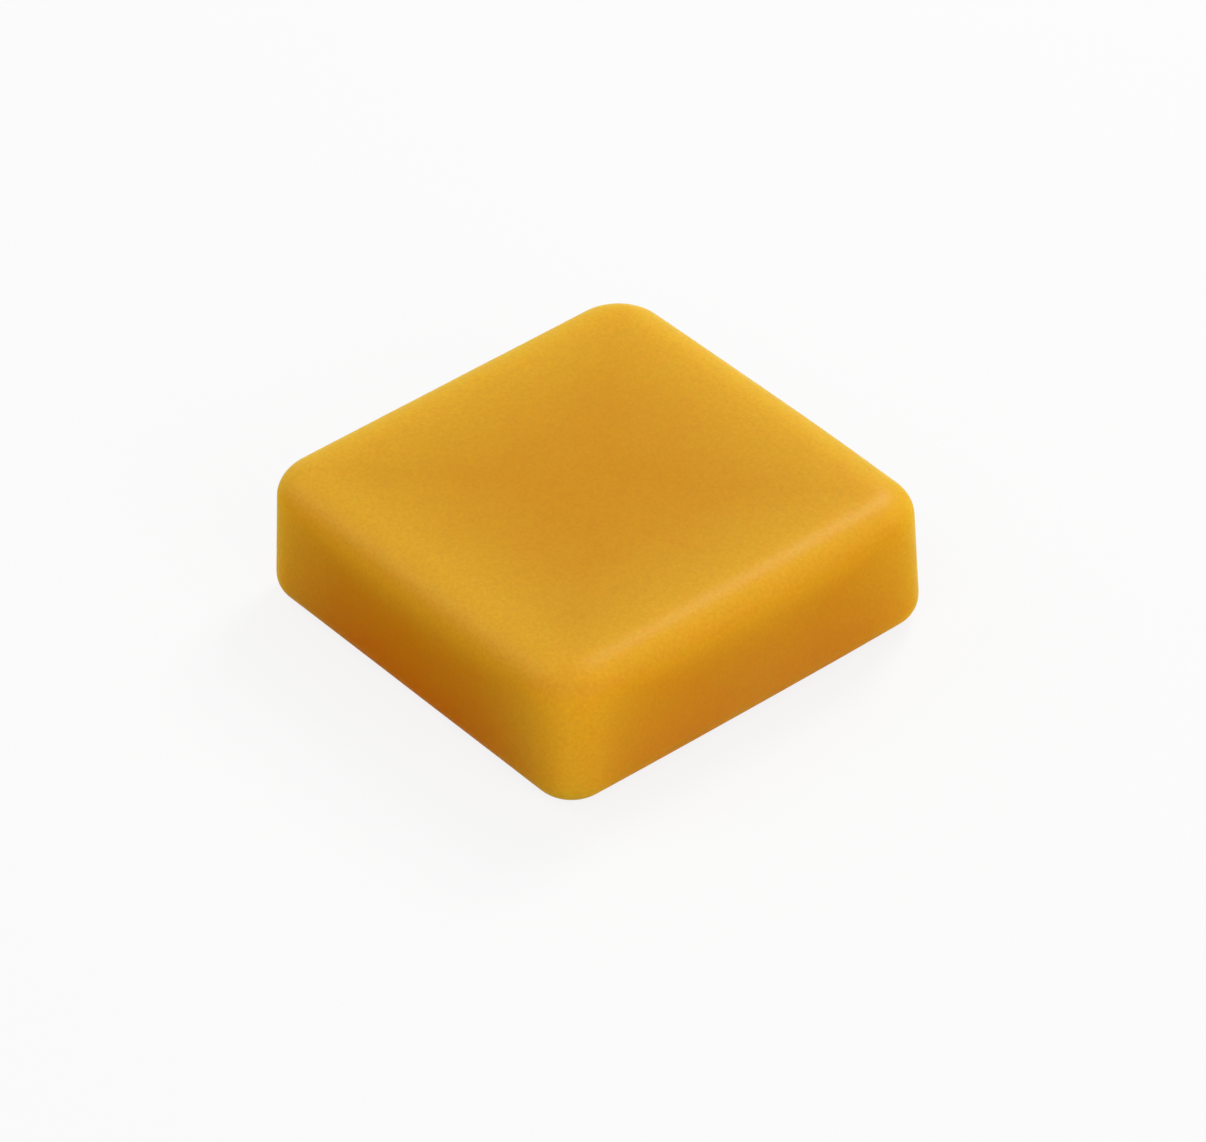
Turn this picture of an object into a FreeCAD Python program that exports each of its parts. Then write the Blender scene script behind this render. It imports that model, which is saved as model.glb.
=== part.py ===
"""Detailing clay bar: one moulded block of elastic polymer clay, as a parametric document.

The block is a low square bar. It was pressed in a tray mould, so its sides lean in towards the top and its
upright corners are rounder at the top than at the base. The mould and the clay's own slump left soft rounded edges
around both the top face and the base.

Row frame: millimetres, +Z up, origin at the middle of the flat base.
"""

import FreeCAD, Part
import math
import os
import Sketcher

NODE = "clay_block"
PARTS_FOLDER = "parts"
ON_PLANE = 1e-4  # mm, how near to a height an edge has to lie to count as being at it

# Driving dimensions in millimetres and degrees: alias, value, meaning.
DIMENSIONS = [
    ("side_x", 60.0, "length of the base along X"),
    ("side_y", 60.0, "length of the base along Y"),
    ("height", 19.2, "from the base to the top face"),
    ("draft_angle", 0.5, "lean of each side from the vertical, in degrees"),
    ("base_corner_radius", 5.3, "radius of the upright corners at the base"),
    ("top_corner_radius", 7.2, "radius of the upright corners at the height of the top face"),
    ("top_edge_radius", 4.0, "rounding around the top face"),
    ("base_edge_radius", 3.5, "rounding around the base"),
]
SHEET = "Dimensions"
LEAN = f"{SHEET}.height * tan({SHEET}.draft_angle * 1 deg)"  # how far a side leans in over the whole height


def make_sheet(doc):
    """A spreadsheet with one row per driving dimension: value in column A, meaning in column B."""
    sheet = doc.addObject("Spreadsheet::Sheet", SHEET)
    for row, (alias, value, meaning) in enumerate(DIMENSIONS, start=1):
        sheet.set(f"A{row}", str(value))
        sheet.setAlias(f"A{row}", alias)
        sheet.set(f"B{row}", meaning)
    doc.recompute()
    return sheet


def plane_of(body, role):
    """The body's own origin plane that has this role."""
    return next(feature for feature in body.Origin.OriginFeatures if feature.Role == role)


def rounded_rectangle(body, name, length_x, length_y, radius, level):
    """A rectangle with round corners, centred on the body's Z axis and lying at a level above its XY plane.

    All four sizes are expressions of the sheet's cells. The outline is drawn at a rough size and its constraints
    bring it to the real one.
    """
    sketch = body.newObject("Sketcher::SketchObject", name)
    sketch.AttachmentSupport = [(plane_of(body, "XY_Plane"), "")]
    sketch.MapMode = "FlatFace"
    sketch.setExpression("AttachmentOffset.Base.z", level)

    half, corner = 20.0, 5.0
    straight = half - corner
    sides, arcs = [], []
    for quarter in range(4):
        turn = quarter * math.pi / 2
        spin = FreeCAD.Rotation(FreeCAD.Vector(0, 0, 1), math.degrees(turn))
        start = spin.multVec(FreeCAD.Vector(half, -straight, 0))
        end = spin.multVec(FreeCAD.Vector(half, straight, 0))
        centre = spin.multVec(FreeCAD.Vector(straight, straight, 0))
        circle = Part.Circle(centre, FreeCAD.Vector(0, 0, 1), corner)
        sides.append(sketch.addGeometry(Part.LineSegment(start, end), False))
        arcs.append(sketch.addGeometry(Part.ArcOfCircle(circle, turn, turn + math.pi / 2), False))

    first, last, origin = 1, 2, (-1, 1)  # the ends of a sketch element, and the sketch's origin point
    right, top, left, bottom = sides
    for quarter in range(4):
        following = sides[(quarter + 1) % 4]
        sketch.addConstraint(Sketcher.Constraint("Tangent", sides[quarter], last, arcs[quarter], first))
        sketch.addConstraint(Sketcher.Constraint("Tangent", arcs[quarter], last, following, first))
    for arc in arcs[1:]:
        sketch.addConstraint(Sketcher.Constraint("Equal", arcs[0], arc))
    sketch.addConstraint(Sketcher.Constraint("Vertical", right))
    sketch.addConstraint(Sketcher.Constraint("Horizontal", top))
    sketch.addConstraint(Sketcher.Constraint("Symmetric", right, first, left, first, *origin))
    sketch.addConstraint(Sketcher.Constraint("Symmetric", top, first, bottom, first, *origin))
    sized = [
        ("length_x", Sketcher.Constraint("DistanceX", left, first, right, first, 2 * half), length_x),
        ("length_y", Sketcher.Constraint("DistanceY", bottom, first, top, first, 2 * half), length_y),
        ("radius", Sketcher.Constraint("Radius", arcs[0], corner), radius),
    ]
    for label, constraint, expression in sized:
        sketch.renameConstraint(sketch.addConstraint(constraint), label)
        sketch.setExpression(f"Constraints.{label}", expression)
    return sketch


def edges_at(shape, level):
    """The names of the edges that lie wholly at this height."""
    names = []
    for number, edge in enumerate(shape.Edges, start=1):
        box = edge.BoundBox
        if abs(box.ZMin - level) < ON_PLANE and abs(box.ZMax - level) < ON_PLANE:
            names.append(f"Edge{number}")
    return names


def round_edges(doc, body, name, base, level, radius):
    """A fillet on the whole loop of edges at this height."""
    loop = edges_at(base.Shape, level)
    if not loop:
        raise RuntimeError(f"{name}: no edges at z = {level}")
    fillet = body.newObject("PartDesign::Fillet", name)
    fillet.Base = (base, loop)
    fillet.setExpression("Radius", radius)
    doc.recompute()
    return fillet


def make_clay_block(doc, sheet):
    """The block: a drafted square bar with conical corners, then its top and base edges rounded."""
    body = doc.addObject("PartDesign::Body", "ClayBlock")
    body.Label = NODE
    base = rounded_rectangle(
        body,
        "BaseOutline",
        f"{SHEET}.side_x",
        f"{SHEET}.side_y",
        f"{SHEET}.base_corner_radius",
        "0",
    )
    top = rounded_rectangle(
        body,
        "TopOutline",
        f"{SHEET}.side_x - 2 * {LEAN}",
        f"{SHEET}.side_y - 2 * {LEAN}",
        f"{SHEET}.top_corner_radius",
        f"{SHEET}.height",
    )
    doc.recompute()

    # Drawn from the top down, which turns the solid's faces outwards, as the fillets need.
    bar = body.newObject("PartDesign::AdditiveLoft", "DraftedBar")
    bar.Profile = top
    bar.Sections = [base]
    bar.Ruled = True
    doc.recompute()

    top_edge = round_edges(doc, body, "TopEdge", bar, sheet.height, f"{SHEET}.top_edge_radius")
    base_edge = round_edges(doc, body, "BaseEdge", top_edge, 0.0, f"{SHEET}.base_edge_radius")
    body.Tip = base_edge
    doc.recompute()
    return body


def check(doc, sub_parts):
    """Stops if any object failed to compute, or if a sub-part isn't one valid solid."""
    for item in doc.Objects:
        if "Invalid" in item.State or "Error" in item.State:
            raise RuntimeError(f"{item.Name} did not compute: {item.State}")
    for item in doc.findObjects("Sketcher::SketchObject"):
        if item.solve() != 0 or not item.FullyConstrained:
            raise RuntimeError(f"{item.Name} isn't fully constrained")
    for item in sub_parts:
        if item.Shape.isNull() or not item.Shape.isValid() or len(item.Shape.Solids) != 1:
            raise RuntimeError(f"{item.Label} isn't one valid solid")


def main():
    doc = FreeCAD.newDocument("ClayBar")
    sheet = make_sheet(doc)
    sub_parts = [make_clay_block(doc, sheet)]
    check(doc, sub_parts)
    os.makedirs(PARTS_FOLDER, exist_ok=True)
    for item in sub_parts:
        item.Shape.exportStep(os.path.join(PARTS_FOLDER, f"{item.Label}.step"))
        box = item.Shape.BoundBox
        size = f"{box.XLength:.3f} x {box.YLength:.3f} x {box.ZLength:.3f} mm"
        print(f"{item.Label}: {size}, {item.Shape.Volume / 1000:.3f} cm3, {len(item.Shape.Faces)} faces")


main()
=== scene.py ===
"""Looks of a detailing clay bar: one soft, slightly translucent block of amber polymer clay, lying flat.

Everything is in metres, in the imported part's own frame: +Z up, origin at the middle of the base.
"""

import math

import bmesh
import bpy
from mathutils import Matrix, Vector, noise


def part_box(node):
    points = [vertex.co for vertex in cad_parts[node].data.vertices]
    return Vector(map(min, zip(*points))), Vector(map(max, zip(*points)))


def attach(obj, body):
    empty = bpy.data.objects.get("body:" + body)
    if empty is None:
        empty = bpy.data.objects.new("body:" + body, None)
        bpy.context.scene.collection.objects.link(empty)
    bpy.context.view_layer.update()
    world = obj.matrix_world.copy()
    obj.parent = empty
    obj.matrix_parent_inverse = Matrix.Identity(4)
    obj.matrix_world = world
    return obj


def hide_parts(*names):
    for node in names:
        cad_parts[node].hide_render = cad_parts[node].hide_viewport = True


MM = 0.001
NODE = "clay_block"

# The block, to the imported part's sizes. Its length, width and height come from the imported part's box.
DRAFT_ANGLE = math.radians(0.5)
BASE_CORNER_RADIUS = 5.3 * MM
TOP_CORNER_RADIUS = 7.2 * MM
TOP_EDGE_DEPTH = 3.7 * MM  # how far below the top face its soft edge starts
TOP_EDGE_WIDTH = 5.3 * MM  # how far in from the side the soft edge ends
BASE_EDGE_RADIUS = 3.5 * MM
BOW_X = 0.26 * MM  # how far the middle of the +X side stands out from its ends; the -X side is straight
BOW_Y = 0.36 * MM  # the same for the +Y side

# The hand-made unevenness of the clay's surface: wavelength and depth of each layer.
WAVES = [(17 * MM, 0.05 * MM), (6 * MM, 0.015 * MM)]
FLAT_BELOW = 2.5 * MM  # the unevenness dies out towards the base, which lies flat

# Mesh density, in cells.
FACE_CELLS = 60  # from the middle of the top or base to its rim
SIDE_CELLS = 26
TOP_EDGE_CELLS = 16
BASE_EDGE_CELLS = 14

# The clay's own deep colour; a painted shade low on the sides, darker and redder on the sides that face
# along Y than on those along X; and a painted glow of light shining through at the edges.
DEEP_AMBER = (0.66, 0.285, 0.003)
# painted shade low on the sides: lighter on the sides that face along X, darker and redder on those along Y
PAINTED_LOW_SHADE_X = (0.63, 0.22, 0.022)
PAINTED_LOW_SHADE_Y = (0.62, 0.115, 0.001)
# painted glow of light shining through the clay at its edges and corners; the mottle leans towards it too
PALE_GLOW_AND_MOTTLE_AMBER = (0.84, 0.48, 0.024)
TOP_GLOW_POWER = 2.3  # how fast the deep colour turns into the painted edge glow towards an edge, at the top
BASE_GLOW_POWER = 4.0  # the same at the base
LOW_SHADE_POWER = 0.8  # how fast it turns into the painted low shade towards the base

# Cloudy patches that lean a little towards the pale colour, and the abrasive's fine brown specks.
MOTTLE_SIZE = 9 * MM
MOTTLE_SHARE = 0.06
GRIT_BROWN = (0.40, 0.15, 0.003)
GRIT_SIZE = 0.45 * MM
GRIT_SHARE = 0.27
GRIT_RELIEF = 0.02 * MM
GRIT_RELIEF_STRENGTH = 0.6

# How the light sinks in: its reach in red, and the share of that in red, green and blue.
SCATTER_REACH = 10 * MM
SCATTER_SHARES = (1.0, 0.45, 0.15)

# Shine, as the weight of a thin glossy skin: the sides stay dull from the mould, the top is rubbed smoother.
SIDE_SHINE = 0.01
TOP_SHINE = 0.20
SHINE_STARTS = 0.80  # share of the height where the shine begins to rise
SATIN_ROUGHNESS = 0.33
DUST_SHEEN = 0.2  # the powdery bloom that pales the outline
DUST_ROUGHNESS = 0.25

# The table and the room.
TABLE_HALF = 3.0  # half the length of its side
TABLE_GAP = 0.02 * MM  # the table lies this far below the base, so that the two don't share a plane
TABLE_GREY = 0.8
TABLE_LIFT = 0.85  # how much of the table's look is plain white, over its own lit and shadowed surface
ROOM_LIGHT = 0.33  # strength of the room's even light on the block; seen directly, the room is white

# The lamps, all facing the block: name, direction, width, depth and power in watts.
LAMP_DISTANCE = 0.5  # from the middle of the base
LAMPS = [
    ("right", (0.94, 0.0, 0.34), 0.3, 0.3, 0.86),
    ("left", (-0.64, -0.40, 0.66), 0.3, 0.3, 0.40),
    ("front", (0.35, -0.58, 0.74), 0.3, 0.3, 0.32),
    ("back", (-0.2, 0.62, 0.76), 0.14, 0.26, 1.2),
]

# The camera's line of sight, and where the middle of the base lies in its view.
CAMERA_AZIMUTH = math.radians(50.868)
CAMERA_ELEVATION = math.radians(38.86)
CAMERA_ROLL = math.radians(-1.366)
CAMERA_DISTANCE = 894.1 * MM
BASE_RIGHT_OF_CENTRE = -0.534 * MM
BASE_BELOW_CENTRE = 3.802 * MM
CAMERA_LENS = 215.55  # mm, on a sensor 36 mm wide


# ---------------------------------------------------------------- the block's shape


def edge_profile(height):
    """The block's side from the rim of the base to the rim of the top, as (inset, level) pairs.

    inset is how far the surface stands in from the block's widest line.
    """
    low, high = BASE_EDGE_RADIUS, height - TOP_EDGE_DEPTH
    lean = (high - low) * math.tan(DRAFT_ANGLE)
    points = []
    for step in range(BASE_EDGE_CELLS):
        turn = math.pi / 2 * step / BASE_EDGE_CELLS
        points.append((BASE_EDGE_RADIUS * (1 - math.sin(turn)), BASE_EDGE_RADIUS * (1 - math.cos(turn))))
    for step in range(SIDE_CELLS):
        share = step / SIDE_CELLS
        points.append((lean * share, low + (high - low) * share))
    for step in range(TOP_EDGE_CELLS + 1):
        turn = math.pi / 2 * step / TOP_EDGE_CELLS
        points.append((lean + TOP_EDGE_WIDTH * (1 - math.cos(turn)), high + TOP_EDGE_DEPTH * math.sin(turn)))
    return points


def corner_radius(inset, level, height):
    """The radius of the rounded rectangle that the block's outline makes at this level."""
    upright = BASE_CORNER_RADIUS + (TOP_CORNER_RADIUS - BASE_CORNER_RADIUS) * level / height
    return upright - inset


def outline_point(column, row, half_x, half_y, radius):
    """Where a point of a square grid's ring falls on a rounded rectangle.

    column and row run from -1 to 1 across the rectangle, and one of them is 1 or -1.
    """
    faces_x = abs(column) >= abs(row)
    half_out, half_along = (half_x, half_y) if faces_x else (half_y, half_x)
    out, along = (column, row) if faces_x else (row, column)
    reach, offset = half_out, abs(along) * half_along
    straight = half_along - radius
    past = offset - straight
    if past > 0:
        turn = math.pi / 4 * past / radius
        reach = half_out - radius * (1 - math.cos(turn))
        offset = straight + radius * math.sin(turn)
    reach, offset = math.copysign(reach, out), math.copysign(offset, along)
    return (reach, offset) if faces_x else (offset, reach)


def ring_places(cells):
    """The grid places (column, row), in cells, that make one ring round the middle, anticlockwise."""
    places = [(cells, step) for step in range(-cells, cells)]
    places += [(-step, cells) for step in range(-cells, cells)]
    places += [(-cells, -step) for step in range(-cells, cells)]
    places += [(step, -cells) for step in range(-cells, cells)]
    return places


def add_ring(mesh, cells, half_x, half_y, radius, level):
    """A closed ring of vertices on a rounded rectangle, by grid place."""
    ring = {}
    for column, row in ring_places(cells):
        x, y = outline_point(column / cells, row / cells, half_x, half_y, radius)
        ring[column, row] = mesh.verts.new((x, y, level))
    return ring


def add_band(mesh, lower, upper):
    """Quads between two rings, facing outwards."""
    places = ring_places(FACE_CELLS)
    for here, there in zip(places, places[1:] + places[:1]):
        mesh.faces.new((lower[here], lower[there], upper[there], upper[here]))


def add_flat_face(mesh, rim, half_x, half_y, radius, level, up):
    """A grid of quads that fills a rim, its corners sharpening towards the middle."""
    grid = dict(rim)
    for cells in range(1, FACE_CELLS):
        share = cells / FACE_CELLS
        grid.update(add_ring(mesh, cells, half_x * share, half_y * share, radius * share**2, level))
    grid[0, 0] = mesh.verts.new((0, 0, level))
    for column in range(-FACE_CELLS, FACE_CELLS):
        for row in range(-FACE_CELLS, FACE_CELLS):
            corners = [(column, row), (column + 1, row), (column + 1, row + 1), (column, row + 1)]
            face = [grid[corner] for corner in corners]
            mesh.faces.new(face if up else face[::-1])


def bow_sides(mesh, half_x, half_y):
    """Swells the middles of the +X and +Y sides, and keeps the block centred in its box."""
    for vertex in mesh.verts:
        x, y = vertex.co.x / half_x, vertex.co.y / half_y
        vertex.co.x += BOW_X * (max(x, 0) * (1 - y * y) - 0.5)
        vertex.co.y += BOW_Y * (max(y, 0) * (1 - x * x) - 0.5)


def unevenness(place):
    """How far the surface stands out here, in metres."""
    depth = 0.0
    for wavelength, amount in WAVES:
        depth += amount * noise.noise(place / wavelength + Vector((wavelength, 0, 0)) * 1000)
    rise = min(place.z / FLAT_BELOW, 1.0)
    return depth * rise * rise * (3 - 2 * rise)


def roughen(mesh):
    """Moves the vertices in and out along their normals by a few hundredths of a millimetre."""
    mesh.normal_update()
    moves = [vertex.normal * unevenness(vertex.co) for vertex in mesh.verts]
    for vertex, move in zip(mesh.verts, moves):
        vertex.co += move


def block_mesh():
    """The clay's surface, closed and made of quads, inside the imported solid's box."""
    low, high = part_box(NODE)
    spare = sum(amount for wavelength, amount in WAVES) / 2
    height = high.z - low.z - 2 * spare
    half_x = (high.x - low.x - BOW_X) / 2 - spare
    half_y = (high.y - low.y - BOW_Y) / 2 - spare

    mesh = bmesh.new()
    sections = []
    for inset, level in edge_profile(height):
        radius = corner_radius(inset, level, height)
        sections.append((half_x - inset, half_y - inset, radius, level))
    rings = [add_ring(mesh, FACE_CELLS, *section) for section in sections]
    for lower, upper in zip(rings, rings[1:]):
        add_band(mesh, lower, upper)
    add_flat_face(mesh, rings[0], *sections[0], up=False)
    add_flat_face(mesh, rings[-1], *sections[-1], up=True)
    bow_sides(mesh, half_x, half_y)
    roughen(mesh)

    data = bpy.data.meshes.new("clay_bar")
    mesh.to_mesh(data)
    mesh.free()
    data.shade_smooth()
    return data


def make_block():
    """The clay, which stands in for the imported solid."""
    block = bpy.data.objects.new("clay_bar", block_mesh())
    bpy.context.scene.collection.objects.link(block)
    block.data.materials.append(clay_material())
    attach(block, "root")
    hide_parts(NODE)


# ---------------------------------------------------------------- node helpers


def new_material(name):
    """A node material holding nothing but its output node."""
    material = bpy.data.materials.new(name)
    material.use_nodes = True
    tree = material.node_tree
    tree.nodes.clear()
    output = tree.nodes.new("ShaderNodeOutputMaterial")
    return material, tree, output


def noise_node(tree, coordinates, wavelength, detail=2.0, roughness=0.5):
    """Noise through the solid clay with lumps of about this size."""
    node = tree.nodes.new("ShaderNodeTexNoise")
    node.inputs["Scale"].default_value = 1 / wavelength
    node.inputs["Detail"].default_value = detail
    node.inputs["Roughness"].default_value = roughness
    tree.links.new(coordinates, node.inputs["Vector"])
    return node.outputs["Fac"]


def mix_colours(tree, factor, first, second):
    """A mix of two colours; each is a plain colour or another node's output."""
    node = tree.nodes.new("ShaderNodeMix")
    node.data_type = "RGBA"
    tree.links.new(factor, node.inputs["Factor"])
    for name, colour in (("A", first), ("B", second)):
        socket = next(entry for entry in node.inputs if entry.name == name and entry.type == "RGBA")
        if isinstance(colour, bpy.types.NodeSocket):
            tree.links.new(colour, socket)
        else:
            socket.default_value = (*colour, 1.0)
    return next(entry for entry in node.outputs if entry.type == "RGBA")


def map_range(tree, value, from_low, from_high, to_low, to_high, smooth=False):
    """A value's range carried over to another one, and held within it."""
    node = tree.nodes.new("ShaderNodeMapRange")
    if smooth:
        node.interpolation_type = "SMOOTHSTEP"
    node.inputs["From Min"].default_value = from_low
    node.inputs["From Max"].default_value = from_high
    node.inputs["To Min"].default_value = to_low
    node.inputs["To Max"].default_value = to_high
    tree.links.new(value, node.inputs["Value"])
    return node.outputs["Result"]


def bump_node(tree, height, depth, strength):
    """Surface relief of this depth in metres."""
    node = tree.nodes.new("ShaderNodeBump")
    node.inputs["Strength"].default_value = strength
    node.inputs["Distance"].default_value = depth
    tree.links.new(height, node.inputs["Height"])
    return node.outputs["Normal"]


def calculate(tree, operation, *values):
    """A sum on one to three values; each is a plain number or another node's output."""
    node = tree.nodes.new("ShaderNodeMath")
    node.operation = operation
    for socket, value in zip(node.inputs, values):
        if isinstance(value, bpy.types.NodeSocket):
            tree.links.new(value, socket)
        else:
            socket.default_value = value
    return node.outputs["Value"]


# ---------------------------------------------------------------- the clay's material


def reaches(tree, place):
    """How far a point stands out along X and Y and up from the base, each as a share of its most."""
    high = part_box(NODE)[1]
    split = tree.nodes.new("ShaderNodeSeparateXYZ")
    tree.links.new(place, split.inputs["Vector"])
    across = calculate(tree, "DIVIDE", calculate(tree, "ABSOLUTE", split.outputs["X"]), high.x)
    along = calculate(tree, "DIVIDE", calculate(tree, "ABSOLUTE", split.outputs["Y"]), high.y)
    rise = calculate(tree, "DIVIDE", split.outputs["Z"], high.z)
    return across, along, rise


def middle_one(tree, first, second, third):
    """The middle of three values: for reaches, 0 deep in a face, and 1 at top edges and upright corners."""
    smaller = calculate(tree, "MINIMUM", first, second)
    larger = calculate(tree, "MAXIMUM", first, second)
    return calculate(tree, "MAXIMUM", smaller, calculate(tree, "MINIMUM", larger, third))


def amber(tree, across, along, rise):
    """The clay's colour with painted light: a painted shade, redder low on the sides, and a painted glow of
    light shining through, paler towards the edges and corners.
    """
    # a painted glow of light shining through, strongest at the top edges and upright corners
    nearness = middle_one(tree, across, along, calculate(tree, "MULTIPLY", rise, rise))
    change = calculate(tree, "MULTIPLY", rise, TOP_GLOW_POWER - BASE_GLOW_POWER)
    edge_glow = calculate(tree, "POWER", nearness, calculate(tree, "ADD", change, BASE_GLOW_POWER))
    # painted shade: the colour deepens and reddens towards the base
    low = calculate(tree, "POWER", calculate(tree, "SUBTRACT", 1.0, rise), LOW_SHADE_POWER)
    # the painted low shade is darker on the sides that face along Y (side near 0) than on those along X
    # (side near 1)
    side = calculate(tree, "MULTIPLY_ADD", calculate(tree, "SUBTRACT", across, along), 0.5, 0.5)
    low_shade_colour = mix_colours(tree, side, PAINTED_LOW_SHADE_Y, PAINTED_LOW_SHADE_X)
    deep_or_shaded = mix_colours(tree, low, DEEP_AMBER, low_shade_colour)
    return mix_colours(tree, edge_glow, deep_or_shaded, PALE_GLOW_AND_MOTTLE_AMBER)


def spread(tree, value, most):
    """Noise's usual middle range, 0.3 to 0.7, stretched to run from 0 to this much."""
    return map_range(tree, value, 0.3, 0.7, 0.0, most)


def clay_material():
    """Amber polymer clay: a satin skin, light that sinks in and comes out redder, and an abrasive grain."""
    material, tree, output = new_material("amber_clay")
    place = tree.nodes.new("ShaderNodeTexCoord").outputs["Object"]
    across, along, rise = reaches(tree, place)
    mottle = spread(tree, noise_node(tree, place, MOTTLE_SIZE), MOTTLE_SHARE)
    grit = spread(tree, noise_node(tree, place, GRIT_SIZE, detail=3.0, roughness=0.75), 1.0)
    # the clay's colour with its painted shade and painted glow, mottled towards the pale glow colour
    mottled = mix_colours(tree, mottle, amber(tree, across, along, rise), PALE_GLOW_AND_MOTTLE_AMBER)
    speckled = mix_colours(tree, calculate(tree, "MULTIPLY", grit, GRIT_SHARE), mottled, GRIT_BROWN)
    shine = map_range(tree, rise, SHINE_STARTS, 1.0, SIDE_SHINE, TOP_SHINE, smooth=True)
    relief = bump_node(tree, grit, GRIT_RELIEF, GRIT_RELIEF_STRENGTH)

    shader = tree.nodes.new("ShaderNodeBsdfPrincipled")
    tree.links.new(speckled, shader.inputs["Base Color"])
    tree.links.new(relief, shader.inputs["Normal"])
    tree.links.new(shine, shader.inputs["Coat Weight"])
    tree.links.new(relief, shader.inputs["Coat Normal"])
    shader.inputs["Coat Roughness"].default_value = SATIN_ROUGHNESS
    shader.inputs["Roughness"].default_value = SATIN_ROUGHNESS
    shader.inputs["Specular IOR Level"].default_value = 0.0  # the glossy skin holds all of the shine
    shader.inputs["Sheen Weight"].default_value = DUST_SHEEN
    shader.inputs["Sheen Roughness"].default_value = DUST_ROUGHNESS
    shader.inputs["Subsurface Weight"].default_value = 1.0
    shader.inputs["Subsurface Radius"].default_value = SCATTER_SHARES
    shader.inputs["Subsurface Scale"].default_value = SCATTER_REACH
    tree.links.new(shader.outputs["BSDF"], output.inputs["Surface"])
    return material


# ---------------------------------------------------------------- studio


def seen_directly(tree):
    """1 for rays from the camera, mirrors and clear materials, and 0 for the light that falls on things."""
    path = tree.nodes.new("ShaderNodeLightPath")
    seen = calculate(tree, "MAXIMUM", path.outputs["Is Camera Ray"], path.outputs["Is Glossy Ray"])
    return calculate(tree, "MAXIMUM", seen, path.outputs["Is Transmission Ray"])


def table_material():
    """A pale matt table, lifted to near white where it is seen directly, and still holding the shadow."""
    material, tree, output = new_material("pale_table")
    matt = tree.nodes.new("ShaderNodeBsdfDiffuse")
    matt.inputs["Color"].default_value = (TABLE_GREY, TABLE_GREY, TABLE_GREY, 1)
    lift = tree.nodes.new("ShaderNodeEmission")
    lift.inputs["Color"].default_value = (1, 1, 1, 1)
    lift.inputs["Strength"].default_value = 1.0
    both = tree.nodes.new("ShaderNodeMixShader")
    tree.links.new(calculate(tree, "MULTIPLY", seen_directly(tree), TABLE_LIFT), both.inputs["Fac"])
    tree.links.new(matt.outputs["BSDF"], both.inputs[1])
    tree.links.new(lift.outputs["Emission"], both.inputs[2])
    tree.links.new(both.outputs["Shader"], output.inputs["Surface"])
    return material


def make_floor():
    """The table that the block lies on."""
    corners = []
    for x, y in ((-1, -1), (1, -1), (1, 1), (-1, 1)):
        corners.append((x * TABLE_HALF, y * TABLE_HALF, -TABLE_GAP))
    data = bpy.data.meshes.new("floor")
    data.from_pydata(corners, [], [(0, 1, 2, 3)])
    data.materials.append(table_material())
    floor = bpy.data.objects.new("floor", data)
    bpy.context.scene.collection.objects.link(floor)


def make_world():
    """An even pale room: it fills the shadows and shows white behind the table."""
    world = bpy.data.worlds.new("studio")
    bpy.context.scene.world = world
    world.use_nodes = True
    tree = world.node_tree
    tree.nodes.clear()
    output = tree.nodes.new("ShaderNodeOutputWorld")
    background = tree.nodes.new("ShaderNodeBackground")
    background.inputs["Color"].default_value = (1, 1, 1, 1)
    strength = map_range(tree, seen_directly(tree), 0.0, 1.0, ROOM_LIGHT, 1.0)
    tree.links.new(strength, background.inputs["Strength"])
    tree.links.new(background.outputs["Background"], output.inputs["Surface"])


def make_lamp(name, direction, width, depth, power):
    """A rectangular lamp that faces the block from this direction."""
    data = bpy.data.lights.new(name, "AREA")
    data.shape = "RECTANGLE"
    data.size = width
    data.size_y = depth
    data.energy = power
    lamp = bpy.data.objects.new(name, data)
    bpy.context.scene.collection.objects.link(lamp)
    away = Vector(direction).normalized()
    lamp.location = away * LAMP_DISTANCE
    lamp.rotation_mode = "QUATERNION"
    lamp.rotation_quaternion = (-away).to_track_quat("-Z", "Y")


def make_camera():
    """The camera, a long lens well away from the block, with a slight roll."""
    sin_a, cos_a = math.sin(CAMERA_AZIMUTH), math.cos(CAMERA_AZIMUTH)
    sin_e, cos_e = math.sin(CAMERA_ELEVATION), math.cos(CAMERA_ELEVATION)
    back = Vector((sin_a * cos_e, -cos_a * cos_e, sin_e))
    level_right = Vector((cos_a, sin_a, 0))
    level_up = back.cross(level_right)
    right = math.cos(CAMERA_ROLL) * level_right + math.sin(CAMERA_ROLL) * level_up
    up = back.cross(right)
    data = bpy.data.cameras.new("camera")
    data.lens = CAMERA_LENS
    camera = bpy.data.objects.new("camera", data)
    bpy.context.scene.collection.objects.link(camera)
    place = CAMERA_DISTANCE * back - BASE_RIGHT_OF_CENTRE * right + BASE_BELOW_CENTRE * up
    turn = Matrix((right, up, back)).transposed()
    camera.matrix_world = Matrix.Translation(place) @ turn.to_4x4()
    bpy.context.scene.camera = camera


def main():
    """Makes the whole scene, with the block built inside the CAD model's box."""
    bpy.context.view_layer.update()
    make_camera()
    make_block()
    make_floor()
    make_world()
    for lamp in LAMPS:
        make_lamp(*lamp)
    bpy.context.scene.view_settings.view_transform = "Standard"


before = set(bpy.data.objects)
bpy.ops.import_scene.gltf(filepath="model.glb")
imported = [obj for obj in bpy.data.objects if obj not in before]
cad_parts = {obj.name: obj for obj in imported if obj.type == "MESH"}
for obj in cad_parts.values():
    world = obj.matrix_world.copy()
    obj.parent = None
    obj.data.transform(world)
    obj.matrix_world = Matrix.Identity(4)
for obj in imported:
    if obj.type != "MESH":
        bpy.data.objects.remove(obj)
main()
